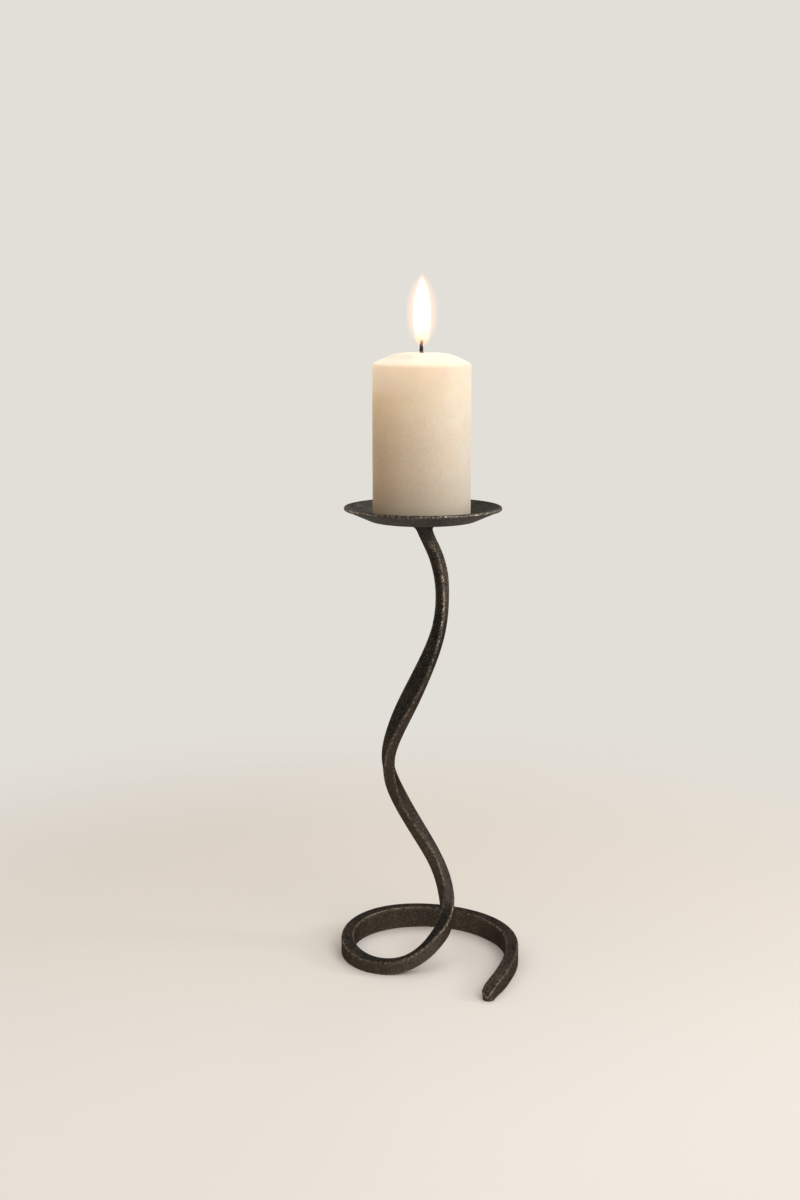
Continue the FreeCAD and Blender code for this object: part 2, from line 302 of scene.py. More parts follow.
# Tones of the wick, and colours of the flame at its foot and above. Shares of its height say how
# far up its foot is warm, and how far below and above the foot it goes from clear to full.
CHAR_TONE = (0.012, 0.010, 0.009, 1)
CHAR_FLECK_TONE = (0.10, 0.055, 0.03, 1)
SOAKED_TONE = (0.42, 0.32, 0.20, 1)
CORE_COLOURS = ((1.0, 0.52, 0.28, 1), (1.0, 0.99, 0.98, 1))
EDGE_COLOURS = ((1.0, 0.56, 0.32, 1), (1.0, 0.93, 0.86, 1))
HALO_COLOURS = ((1.0, 0.76, 0.56, 1), (1.0, 0.74, 0.55, 1))
FLAME_WARM_SHARE = 0.38
FLAME_CLEAR_DEPTH = 0.04
FLAME_CLEAR_SHARE = 0.30
NO_LIGHT = (0.0, 0.0, 0.0, 1)

# The stage: the floor fades into the backdrop between two distances from the axis. Each lamp has
# a name, a place, a size, a power and a colour, and aims at the axis of the pan.
FLOOR_REACH = 3.0
FLOOR_FADE_START = 0.22
FLOOR_FADE_END = 0.62
# Painted shade: the floor darkens towards the back, from this far in front of the middle to this
# far behind it.
FLOOR_TONE_REACH = 0.25
FLOOR_FRONT_TONE = (0.785, 0.752, 0.712, 1)
FLOOR_BACK_SHADE_TONE = (0.73, 0.685, 0.63, 1)
LEFT_LIGHT = (0.34, 0.19, 0.06, 1)
RIGHT_LIGHT = (0.38, 0.38, 0.39, 1)
CEILING_LIGHT = (0.95, 0.95, 0.94, 1)
BACKDROP = (0.761, 0.738, 0.687, 1)
DIM_ROOM = (0.20, 0.18, 0.16, 1)
DIM_CEILING = (0.22, 0.22, 0.22, 1)
LAMPS = (
    ("key_lamp", (0.92, -1.24, 1.10), 1.2, 14.0, (1.0, 0.97, 0.93)),
    ("side_lamp", (1.55, -0.08, 0.62), 0.3, 6.4, (1.0, 0.97, 0.93)),
    ("edge_lamp", (0.35, 1.2, 1.3), 0.6, 3.0, (1.0, 0.98, 0.95)),
)
LAMP_AIM_HEIGHT = 0.2
FLAME_LAMP_POWER = 0.003
FLAME_LAMP_COLOUR = (1.0, 0.86, 0.70)
FLAME_LAMP_RADIUS = 5.0 * MM
FLAME_LAMP_HEIGHT = 18.0 * MM

# The camera, from the axis of the pan.
CAMERA_RIGHT = -14.1 * MM
CAMERA_BACK = 1016.4 * MM
CAMERA_HEIGHT = 409.7 * MM
CAMERA_PITCH = math.radians(10.06)
CAMERA_LENS = 50.0
CAMERA_SENSOR = 36.0


# Shapes.

def spline(spots, values, at):
    """Natural cubic spline through values at spots, read at the places in at.

    The bending at each inner spot makes the slopes on its two sides equal and is zero at both
    ends. Between two spots the value is the line between them plus (share cubed minus share)
    times the bending, from both sides.
    """
    gaps = np.diff(spots)
    count = len(spots)
    system = np.eye(count)
    right_side = np.zeros((count,) + values.shape[1:])
    inner = np.arange(1, count - 1)
    system[inner, inner - 1] = gaps[:-1]
    system[inner, inner] = 2 * (gaps[:-1] + gaps[1:])
    system[inner, inner + 1] = gaps[1:]
    slopes = np.diff(values, axis=0) / gaps[:, None]
    right_side[1:-1] = 6 * np.diff(slopes, axis=0)
    bending = np.linalg.solve(system, right_side)
    span = np.clip(np.searchsorted(spots, at, side="right") - 1, 0, count - 2)
    gap = gaps[span][:, None]
    ahead = ((at - spots[span]) / gaps[span])[:, None]
    behind = 1 - ahead
    line = behind * values[span] + ahead * values[span + 1]
    bend_behind = (behind**3 - behind) * bending[span]
    bend_ahead = (ahead**3 - ahead) * bending[span + 1]
    return line + (bend_behind + bend_ahead) * gap**2 / 6


def ease(share):
    """Smooth step from 0 to 1: three times the square less twice the cube."""
    share = np.clip(share, 0, 1)
    return share * share * (3 - 2 * share)


def soft_noise(places, spacing, seed):
    """One smooth random value from -1 to 1 for each place along a line.

    Random values stand one spacing apart, and an eased blend joins the two on either side.
    """
    steps = np.asarray(places) / spacing
    first = np.floor(steps).astype(int)
    low = first.min()
    values = np.random.default_rng(seed).uniform(-1, 1, first.max() - low + 2)
    share = ease(steps - first)
    return values[first - low] * (1 - share) + values[first - low + 1] * share


def put(name, data):
    """New object in the scene, with what it shows."""
    thing = bpy.data.objects.new(name, data)
    bpy.context.scene.collection.objects.link(thing)
    return thing


def skin(name, rings, loop=False, masks=None):
    """Closed mesh over rings, an array of ring by point by coordinate.

    Quads join each ring to the next. Where loop is false a pole in the middle of the first and
    of the last ring closes the ends, otherwise the last ring joins the first. masks holds one
    value for each point of the rings, by name, and becomes attributes of the mesh.
    """
    count, around = rings.shape[:2]
    index = np.arange(count * around).reshape(count, around)
    following = np.roll(index, -1, axis=0) if loop else index[1:]
    here = index if loop else index[:-1]
    quads = np.stack([here, np.roll(here, -1, 1), np.roll(following, -1, 1), following], -1)
    vertices = rings.reshape(-1, 3)
    faces = quads.reshape(-1, 4).tolist()
    if not loop:
        first_pole = count * around
        last_pole = first_pole + 1
        poles = np.stack([rings[0].mean(0), rings[-1].mean(0)])
        vertices = np.concatenate([vertices, poles])
        first = index[0]
        last = index[-1]
        fan_first = np.stack([np.roll(first, -1), first, np.full(around, first_pole)], -1)
        fan_last = np.stack([last, np.roll(last, -1), np.full(around, last_pole)], -1)
        faces += fan_first.tolist() + fan_last.tolist()
    mesh = bpy.data.meshes.new(name)
    mesh.from_pydata(vertices, [], faces)
    for mask, values in (masks or {}).items():
        flat = np.asarray(values, np.float32).reshape(-1)
        if not loop:
            flat = np.concatenate([flat, [flat[:around].mean(), flat[-around:].mean()]])
        attribute = mesh.attributes.new(mask, "FLOAT", "POINT")
        attribute.data.foreach_set("value", flat.astype(np.float32))
    mesh.polygons.foreach_set("use_smooth", np.ones(len(mesh.polygons), bool))
    mesh.update()
    return put(name, mesh)


def rounded_outline(corners, arc_points=7):
    """Points along straight runs through corners of (radius, height, rounding).

    Each rounded corner is an arc: it starts and ends at rounding over the tangent of half the
    corner's angle, and its points turn evenly about its centre.
    """
    corners = np.array(corners, float)
    places = corners[:, :2]
    points = [places[:1]]
    for number in range(1, len(corners) - 1):
        corner = places[number]
        rounding = corners[number, 2]
        if rounding == 0:
            points.append(corner[None])
            continue
        back = places[number - 1] - corner
        ahead = places[number + 1] - corner
        back = back / np.linalg.norm(back)
        ahead = ahead / np.linalg.norm(ahead)
        half_angle = math.acos(np.clip(back @ ahead, -1, 1)) / 2
        bisector = (back + ahead) / np.linalg.norm(back + ahead)
        centre = corner + bisector * rounding / math.sin(half_angle)
        start = corner + back * rounding / math.tan(half_angle) - centre
        end = corner + ahead * rounding / math.tan(half_angle) - centre
        sweep = math.atan2(start[0] * end[1] - start[1] * end[0], start @ end)
        turns = np.linspace(0, sweep, arc_points)[:, None]
        side = np.array([-start[1], start[0]])
        points.append(centre + start * np.cos(turns) + side * np.sin(turns))
    points.append(places[-1:])
    return np.concatenate(points)


def fine_outline(points, step):
    """The outline with points added so that none lie further apart than one step."""
    lengths = np.concatenate([[0], np.cumsum(np.linalg.norm(np.diff(points, axis=0), axis=1))])
    even = np.linspace(0, lengths[-1], int(lengths[-1] / step) + 2)
    spots = np.unique(np.round(np.concatenate([lengths, even]), 7))
    radius = np.interp(spots, lengths, points[:, 0])
    height = np.interp(spots, lengths, points[:, 1])
    return np.stack([radius, height], -1)


def round_rings(radius, heights, turns, axis):
    """Level rings round an axis: each point lies at its own radius and turn, and each ring at
    its own height."""
    x = axis[0] + radius * np.cos(turns)
    y = axis[1] + radius * np.sin(turns)
    z = np.broadcast_to(heights[:, None], x.shape)
    return np.stack([x, y, z], -1)


def even_turns(around):
    """Turns of the points round a ring."""
    return np.arange(around) * FULL_TURN / around


def turned(outline, around, axis):
    """Rings of a turned shape: each outline point goes round the axis at its own radius."""
    return round_rings(outline[:, :1], outline[:, 1], even_turns(around), axis)


def square_reach(turns):
    """How far a square of half side one reaches at each turn: one over the larger of the cosine
    and the sine."""
    return 1 / np.maximum(np.abs(np.cos(turns)), np.abs(np.sin(turns)))


def section_pattern(flat_points, arc_points):
    """Round of a rounded rectangle as unit values.

    For each point it gives the corner share across and along, from -1 to 1, the direction of
    the surface there, and its turn from the middle of the nearest rounded edge. A point is the
    corner share times the inner half size, plus the direction times the radius of the edge.
    """
    quarter = math.pi / 2
    signs = ((1, 1), (-1, 1), (-1, -1), (1, -1))
    across = []
    along = []
    direction = []
    from_middle = []
    share = np.linspace(0, 1, flat_points + 2)[1:-1]
    for number, sign in enumerate(signs):
        start = number * quarter
        following = signs[(number + 1) % 4]
        across += [sign[0]] * arc_points + list(sign[0] * (1 - share) + following[0] * share)
        along += [sign[1]] * arc_points + list(sign[1] * (1 - share) + following[1] * share)
        direction += list(start + np.linspace(0, quarter, arc_points))
        direction += [start + quarter] * flat_points
        from_middle += list(np.abs(np.linspace(-quarter / 2, quarter / 2, arc_points)))
        from_middle += [quarter / 2] * flat_points
    return np.array([across, along, direction, from_middle], float)


def head_spread(rings, centre, heights):
    """Level rings pushed out to the trumpet of the head.

    The trumpet's radius is the head's times a power of the rise. Each point lies at the larger
    of that and its own distance from the middle of its ring, joined by a smooth maximum: half
    of the sum plus the root of the squared difference plus the squared fillet.
    """
    rise = np.clip((heights - HEAD_START) / (PAN_UNDERSIDE - HEAD_START), 0, 1)[:, None]
    trumpet = HEAD_RADIUS * rise**HEAD_POWER
    middle = centre[:, None, :2]
    offset = rings[..., :2] - middle
    own = np.linalg.norm(offset, axis=-1)
    fillet = HEAD_FILLET * ease(rise / HEAD_FILLET_RISE)
    joined = (own + trumpet + np.sqrt((own - trumpet) ** 2 + fillet**2)) / 2
    spread = middle + offset * (joined / own)[..., None]
    return np.concatenate([spread, rings[..., 2:]], -1)


def bar_line():
    """Distances along the middle line of the bar, with the place, the sizes of the section and
    its facing at each, as splines through the stations. They lie closer at the tail's tip."""
    angle = np.radians(STATIONS[:, 0])
    reach = STATIONS[:, 1] * MM
    places = np.stack([reach * np.cos(angle), reach * np.sin(angle), STATIONS[:, 2] * MM], -1)
    spots = np.concatenate([[0], np.cumsum(np.linalg.norm(np.diff(places, axis=0), axis=1))])
    sizes = np.column_stack([STATIONS[:, 3:6] * MM, np.radians(STATIONS[:, 6])])
    tail = TAIL_ROUNDING * np.linspace(TAIL_FIRST_SHARE, 1, TAIL_RINGS, endpoint=False) ** 2
    plain = np.linspace(TAIL_ROUNDING, spots[-1], int(spots[-1] / BAR_STEP))
    at = np.concatenate([tail, plain])
    return at, spline(spots, places, at), spline(spots, sizes, at).T


def bar_directions(at, centre, facing):
    """Ahead along the bar, outward and upward, at each place of its middle line.

    Outward is the way that the section faces, made square to the line, and upward is square to
    both.
    """
    ahead = np.gradient(centre, at, axis=0)
    ahead /= np.linalg.norm(ahead, axis=1)[:, None]
    outward = np.stack([np.cos(facing), np.sin(facing), np.zeros(len(facing))], -1)
    outward -= ahead * np.sum(outward * ahead, axis=1)[:, None]
    outward /= np.linalg.norm(outward, axis=1)[:, None]
    return ahead, outward, np.cross(outward, ahead)


def bar_wear(at, height, from_edge, direction):
    """Wear and painted highlight of each point of the bar, from 0 to 1.

    It is one at the middle of each rounded edge and falls off as the exponential of minus the
    squared distance over the squared reach, which is wider along the stem's painted highlight
    streak. A share takes it down away from that streak and from the tail's tip, and a loss at the
    neck paints shade there. The paler top of the tail goes with the squared sine of the surface's
    direction.
    """
    # Painted highlight: the streak up the stem widens the bare edges and gives them full
    # strength.
    highlight_streak = ease((height - HIGHLIGHT_STREAK_LOW) / (HIGHLIGHT_STREAK_FULL - HIGHLIGHT_STREAK_LOW))
    wear_and_highlight_reach = EDGE_WEAR_AND_HIGHLIGHT_REACH + (HIGHLIGHT_STREAK_REACH - EDGE_WEAR_AND_HIGHLIGHT_REACH) * highlight_streak
    wear_and_highlight = np.exp(-((from_edge / wear_and_highlight_reach) ** 2))
    climbing = ease((height - RING_TOP) / (STEM_START - RING_TOP))
    wear_and_highlight_share = RING_WEAR_AND_HIGHLIGHT_SHARE + (STEM_WEAR_AND_HIGHLIGHT_SHARE - RING_WEAR_AND_HIGHLIGHT_SHARE) * climbing
    highlighted_zone = np.maximum(highlight_streak, 1 - ease(at / TIP_WEAR_AND_HIGHLIGHT_LENGTH)[:, None])
    wear_and_highlight *= wear_and_highlight_share + (1 - wear_and_highlight_share) * highlighted_zone
    # Painted shade: from the neck up the wear and highlight mostly goes.
    wear_and_highlight *= 1 - NECK_PAINTED_SHADE_LOSS * ease((height - NECK_LOW) / (NECK_HIGH - NECK_LOW))
    # The top of the tail near its tip is paler.
    near_tip = 1 - ease((at - TAIL_TOP_FULL) / (TAIL_TOP_END - TAIL_TOP_FULL))[:, None]
    tail_top = TAIL_TOP_PALE * near_tip * np.clip(np.sin(direction), 0, 1) ** 2
    return np.maximum(wear_and_highlight, tail_top)


def with_more(rows, count):
    """The rows and then the last of them again, as often as the count says."""
    return np.concatenate([rows, np.repeat(rows[-1:], count, axis=0)])


def stem_rings():
    """Rings of the bar, from the tip of its tail to the top of its head, with their wear and
    painted highlight, and their painted brown sheen.

    Each ring is a rounded rectangle square to the middle line. The tip of the tail is drawn in
    along a quarter ellipse. Slow random values along each side of the bar are its hammer marks.
    Near the head each point slides along the line of the bar until its ring is level, and from
    there on the last ring goes straight up to the pan. The brown is a painted reflection of the
    floor's light: it goes with the squared cosine of the surface's direction, so the sides are
    browner than the top and bottom, and painted shade takes it away up the stem.
    """
    at, centre, (thickness, width, rounding, facing) = bar_line()
    ahead, outward, upward = bar_directions(at, centre, facing)
    share = np.clip(at / TAIL_ROUNDING, 0, 1)
    roundness = np.sqrt(1 - (1 - share) ** 2)
    narrow_width = width * (1 + roundness) / 2
    centre = centre - upward * ((width - narrow_width) / 2)[:, None]
    half_thickness = thickness * roundness / 2
    half_width = narrow_width / 2
    most = np.minimum(half_thickness, half_width) * BAR_EDGE_MOST
    edge = np.minimum(rounding, most)[:, None]

    pattern = section_pattern(BAR_FLAT_POINTS, BAR_ARC_POINTS)
    corner_across, corner_along, direction, from_middle = pattern
    inner_across = half_thickness[:, None] - edge
    inner_along = half_width[:, None] - edge
    worked = ease((at - TAIL_ROUNDING) / TAIL_ROUNDING)[:, None]
    marks = np.stack([soft_noise(at, HAMMER_SPACING, HAMMER_SEED + side) for side in range(4)])
    sides = np.arange(4) * math.pi / 2
    facing_share = np.clip(np.cos(direction[:, None] - sides), 0, 1) ** 2
    stand = edge + worked * (facing_share @ marks).T * HAMMER_DEPTH
    across = corner_across * inner_across + np.cos(direction) * stand
    along = corner_along * inner_along + np.sin(direction) * stand
    offset = outward[:, None] * across[..., None] + upward[:, None] * along[..., None]
    level = ease((centre[:, 2] - LEVEL_START) / (LEVEL_END - LEVEL_START))
    slide = level[:, None] * offset[..., 2] / np.maximum(ahead[:, 2], LEAST_CLIMB)[:, None]
    rings = centre[:, None] + offset - ahead[:, None] * slide[..., None]
    flat = (1 - np.abs(corner_across)) * inner_across + (1 - np.abs(corner_along)) * inner_along
    wear_and_highlight = bar_wear(at, centre[:, 2:], from_middle * edge + flat, direction)

    top_heights = np.arange(centre[-1, 2], PAN_UNDERSIDE, BAR_STEP)[1:]
    top_heights = np.append(top_heights, PAN_UNDERSIDE)
    heights = np.concatenate([centre[:, 2], top_heights])
    rings = with_more(rings, len(top_heights))
    rings[len(at):, :, 2] = top_heights[:, None]
    rings = head_spread(rings, with_more(centre, len(top_heights)), heights)
    wear_and_highlight = with_more(wear_and_highlight, len(top_heights))
    wear_and_highlight[-2:] = 1
    # Painted reflection and painted shade: the sides are browner than the top and bottom, and up
    # the stem the brown goes.
    painted_shade = PAINTED_SHADE_SHARE * ease((heights - PAINTED_SHADE_LOW) / (PAINTED_SHADE_FULL - PAINTED_SHADE_LOW))[:, None]
    brown_and_sheen = np.cos(direction) ** 2 * (1 - painted_shade)
    rings[..., :2] += PAN_AXIS
    rings[..., 2] = np.clip(rings[..., 2], 0, PAN_UNDERSIDE)
    return rings, wear_and_highlight, brown_and_sheen


def make_stem():
    """The bar in one piece, closed at the tip of its tail and at the top of its head."""
    rings, wear_and_highlight, brown_and_sheen = stem_rings()
    return skin("forged_bar", rings, masks={"wear_and_highlight": wear_and_highlight, "brown": brown_and_sheen})


def make_pan():
    """Turned dish whose outline goes round as a closed loop, with a bead along its rim.

    The bead is a circle centred on the sheet just inside the rim, from where it meets the
    outer face round to where it meets the inner face. Two slow waves lower the wall a little,
    more towards the rim.
    """
    slope = math.atan2(RIM_HEIGHT - PAN_FLOOR, PAN_FLARE)
    rim = PAN_RADIUS - PAN_SHEET * math.sin(slope)
    inner_corner = rim - PAN_FLARE
    outer_corner = inner_corner + PAN_SHEET * math.tan(slope / 2)
    climb = np.array([math.cos(slope), math.sin(slope)])
    inward = np.array([-math.sin(slope), math.cos(slope)])
    half_sheet = PAN_SHEET / 2
    rim_middle = np.array([rim, RIM_HEIGHT]) - inward * half_sheet
    bead_middle = rim_middle - climb * PAN_BEAD_RADIUS
    opening = math.atan2(half_sheet, -math.sqrt(PAN_BEAD_RADIUS**2 - half_sheet**2))
    turns = np.linspace(-opening, opening, PAN_BEAD_POINTS)[:, None]
    bead = bead_middle + PAN_BEAD_RADIUS * (climb * np.cos(turns) + inward * np.sin(turns))
    lower = rounded_outline([
        (PAN_HOLE_RADIUS, PAN_UNDERSIDE, 0),
        (outer_corner, PAN_UNDERSIDE, PAN_BEND_RADIUS + PAN_SHEET),
        (*bead[0], 0),
    ])
    upper = rounded_outline([
        (*bead[-1], 0),
        (inner_corner, PAN_FLOOR, PAN_BEND_RADIUS),
        (PAN_HOLE_RADIUS, PAN_FLOOR, 0),
    ])
    outline = fine_outline(np.concatenate([lower, bead[1:-1], upper]), PAN_STEP)
    rings = turned(outline, PAN_AROUND, PAN_AXIS)
    turns = even_turns(PAN_AROUND)
    reach = ease((outline[:, 0] - inner_corner) / PAN_FLARE)[:, None]
    wave = sum(share * np.sin(count * turns + start) for share, count, start in PAN_WAVES)
    highest = sum(share for share, count, start in PAN_WAVES)
    rings[..., 2] -= PAN_WAVE * reach * (1 + wave / highest)
    # The bare line round the bead is wear and a painted highlight.
    from_bead = np.linalg.norm(outline - rim_middle, axis=1)
    wear_and_highlight = np.exp(-((from_bead / RIM_WEAR_AND_HIGHLIGHT_REACH) ** 2))[:, None] * np.ones(len(turns))
    return skin("hammered_pan", rings[::-1], loop=True, masks={"wear_and_highlight": wear_and_highlight[::-1]})


def make_spike():
    """Square point on a round shank.

    Each ring of the point is a circle pushed out to a square, up to where the corner is cut.
    """
    height = spike_high[2] - PAN_FLOOR
    heights = np.concatenate([
        np.linspace(spike_low[2], PAN_FLOOR, SHANK_RINGS),
        PAN_FLOOR + height * np.linspace(0, 1, POINT_RINGS) ** POINT_CROWDING,
    ])
    share = np.clip((heights - PAN_FLOOR) / height, 0, 1)
    side = SPIKE_BASE_SIDE + (SPIKE_POINT_SIDE - SPIKE_BASE_SIDE) * share
    square = (np.arange(len(heights)) >= SHANK_RINGS)[:, None]
    turns = even_turns(SPIKE_AROUND)
    reach = np.minimum(square_reach(turns), SPIKE_CORNER_SHARE)
    radius = np.where(square, side[:, None] / 2 * reach, SHANK_RADIUS)
    rings = round_rings(radius, heights, turns, PAN_AXIS)
    corner = (reach - SPIKE_WEAR_SHARE) / (SPIKE_CORNER_SHARE - SPIKE_WEAR_SHARE)
    wear_and_highlight = np.where(square, np.clip(corner, 0, 1), 0)
    return skin("square_spike", rings, masks={"wear_and_highlight": wear_and_highlight})


def make_candle():
    """Turned pillar with a square tapering hole below.

    The side is a little uneven, as poured wax is: two waves of two and three rounds are added
    to its radius, and the second turns as it climbs. The hole stands on the pan's axis, as the
    spike does.
    """
    wax_top = CANDLE_TOP - WAX_SUNK
    pool = wax_top - MELT_POOL_DEPTH
    cone_top = pool + WICK_CONE_HEIGHT
    hole_top = PAN_FLOOR + SPIKE_HOLE_DEPTH
    half_point = SPIKE_POINT_SIDE / 2 + SPIKE_HOLE_CLEARANCE
    half_base = SPIKE_BASE_SIDE / 2 + SPIKE_HOLE_CLEARANCE
    outline = rounded_outline([
        (0, hole_top, 0),
        (half_point, hole_top, 0),
        (half_base, PAN_FLOOR, 0),
        (CANDLE_RADIUS, PAN_FLOOR, FOOT_ROUNDING),
        (CANDLE_RADIUS, CANDLE_TOP - SHOULDER_DROP, CORNER_ROUNDING),
        (SHOULDER_TOP_RADIUS, wax_top, SHOULDER_ROUNDING),
        (MELT_POOL_RADIUS, wax_top, MELT_POOL_LIP),
        (MELT_POOL_RADIUS - MELT_POOL_SLOPE, pool, MELT_POOL_ROUNDING),
        (WICK_RADIUS * WICK_CONE_SHARE, pool, WICK_CONE_ROUNDING),
        (WICK_RADIUS * WICK_CONE_TOP_SHARE, cone_top, 0),
        (0, cone_top, 0),
    ])
    outline = fine_outline(outline, CANDLE_STEP)[1:-1]
    turns = even_turns(CANDLE_AROUND)
    reach, height = outline.T[..., None]
    hole = (reach <= half_base + TOLERANCE) & (height < hole_top + TOLERANCE)
    climb = height / WAX_WAVE_CLIMB
    uneven = np.sin(2 * turns + WAX_WAVE_START) + WAX_SECOND_WAVE * np.sin(3 * turns + climb)
    outer = (reach / CANDLE_RADIUS - WAX_WAVE_INNER) / (WAX_WAVE_OUTER - WAX_WAVE_INNER)
    radius = reach * np.where(hole, square_reach(turns), 1) + uneven * ease(outer) * WAX_WAVE
    rings = round_rings(radius, outline[:, 1], turns, CANDLE_AXIS)
    rings[..., :2] += np.where(hole[..., None], PAN_AXIS - CANDLE_AXIS, 0)
    return skin("wax_pillar", rings[::-1])


def make_wick():
    """Cotton cord of three strands.

    The radius swells once for each strand round it, and the swelling turns as it climbs. Above
    the wax it is knobbly, thickest near the wax, and bends a little, as a sine of its height.
    """
    top = wick_high[2]
    wax = CANDLE_TOP - WAX_SUNK - MELT_POOL_DEPTH
    fine_start = wax - WICK_FINE_DEPTH
    heights = np.concatenate([
        np.arange(wick_low[2], fine_start, WICK_STEP),
        np.arange(fine_start, top - WICK_TIP, WICK_FINE_STEP),
        top - WICK_TIP * np.linspace(1, 0, WICK_TIP_RINGS) ** 2,
    ])
    turns = even_turns(WICK_AROUND)
    above = ease((heights - wax) / WICK_STEP)
    climb = heights[:, None] * FULL_TURN / STRAND_TURN
    strands = STRAND_SWELL * np.cos(STRANDS * (turns - climb))
    knobs = KNOB_SWELL * soft_noise(heights, KNOB_SPACING, KNOB_SEED) * above
    bulge = BULGE_SWELL * np.exp(-(((heights - wax - BULGE_HEIGHT) / BULGE_REACH) ** 2))
    thinner = THINNING * ease((heights - wax - THINNING_HEIGHT) / THINNING_REACH)
    into_tip = ((heights - top + WICK_TIP_START) / WICK_TIP_REACH).clip(0, 1)
    close = np.sqrt(np.clip(1 - into_tip**2, WICK_TIP_LEAST, 1))
    share = WICK_BASE_SHARE + strands + (knobs + bulge - thinner)[:, None]
    radius = WICK_RADIUS * share * close[:, None]
    rings = round_rings(radius, heights, turns, CANDLE_AXIS)
    bend = WICK_BEND * np.sin((heights - wax) / (top - wax) * WICK_BEND_TURN) * above
    rings[..., 0] -= bend[:, None]
    return skin("cotton_wick", rings)


def make_flame(name, width_share, foot_share, tip_share, margin=0.0):
    """Drop of light: the radius is a spline through the profile, closed at the tip. The margin
    is added on all sides, and half of it at the tip."""
    height = flame_high[2] - flame_low[2]
    at = np.linspace(0, 1, FLAME_RINGS)
    reach = spline(FLAME_PROFILE[:, 0], FLAME_PROFILE[:, 1:], at)[:, 0]
    radius = reach * (FLAME_RADIUS * width_share + margin)
    low = flame_low[2] + height * foot_share
    high = flame_low[2] + height * tip_share + margin / 2
    z = low + (high - low) * at
    return skin(name, turned(np.stack([radius, z], -1), FLAME_AROUND, CANDLE_AXIS))


# Finishes.

def add(tree, kind, inputs=None, **settings):
    """New node in a tree. Its inputs get a value each, or the output that feeds them."""
    node = tree.nodes.new(kind)
    for name, value in settings.items():
        setattr(node, name, value)
    for name, value in (inputs or {}).items():
        if isinstance(value, bpy.types.NodeSocket):
            tree.links.new(value, node.inputs[name])
        else:
            node.inputs[name].default_value = value
    return node


def math_node(tree, operation, first, second=0.0, third=0.0):
    """Result of an operation on two values, or their product with a third one added."""
    values = {0: first, 1: second}
    if operation == "MULTIPLY_ADD":
        values[2] = third
    return add(tree, "ShaderNodeMath", values, operation=operation).outputs[0]


def mapped(tree, value, low, high, new_low=0.0, new_high=1.0):
    """The value taken from one range to another, eased and held at both ends."""
    inputs = {"Value": value, "From Min": low, "From Max": high,
              "To Min": new_low, "To Max": new_high}
    node = add(tree, "ShaderNodeMapRange", inputs, interpolation_type="SMOOTHSTEP")
    return node.outputs["Result"]


def mixed(tree, share, first, second):
    """The first colour, and as much of the second as the share says."""
    node = add(tree, "ShaderNodeMix", data_type="RGBA")
    for number, value in ((0, share), (6, first), (7, second)):
        if isinstance(value, bpy.types.NodeSocket):
            tree.links.new(value, node.inputs[number])
        else:
            node.inputs[number].default_value = value
    return node.outputs[2]


def noise(tree, place, spacing, detail=2.0, roughness=0.5):
    """Noise whose features are about one spacing apart."""
    inputs = {"Vector": place, "Scale": 1 / spacing, "Detail": detail, "Roughness": roughness}
    return add(tree, "ShaderNodeTexNoise", inputs).outputs["Fac"]


def new_finish(name):
    """New material, with its node tree and its shader."""
    material = bpy.data.materials.new(name)
    material.use_nodes = True
    tree = material.node_tree
    return material, tree, tree.nodes["Principled BSDF"]


def place_on_piece(tree):
    """Place on the piece, and its height in the frame."""
    place = add(tree, "ShaderNodeTexCoord").outputs["Object"]
    return place, add(tree, "ShaderNodeSeparateXYZ", {"Vector": place}).outputs["Z"]


def distance_from(tree, place, middle, axes=(1.0, 1.0, 1.0)):
    """Distance of a place from a middle, along the axes that count."""
    away = add(tree, "ShaderNodeVectorMath", {0: place, 1: middle}, operation="SUBTRACT")
    away = add(tree, "ShaderNodeVectorMath", {0: away.outputs[0], 1: axes}, operation="MULTIPLY")
    length = add(tree, "ShaderNodeVectorMath", {0: away.outputs[0]}, operation="LENGTH")
    return length.outputs["Value"]


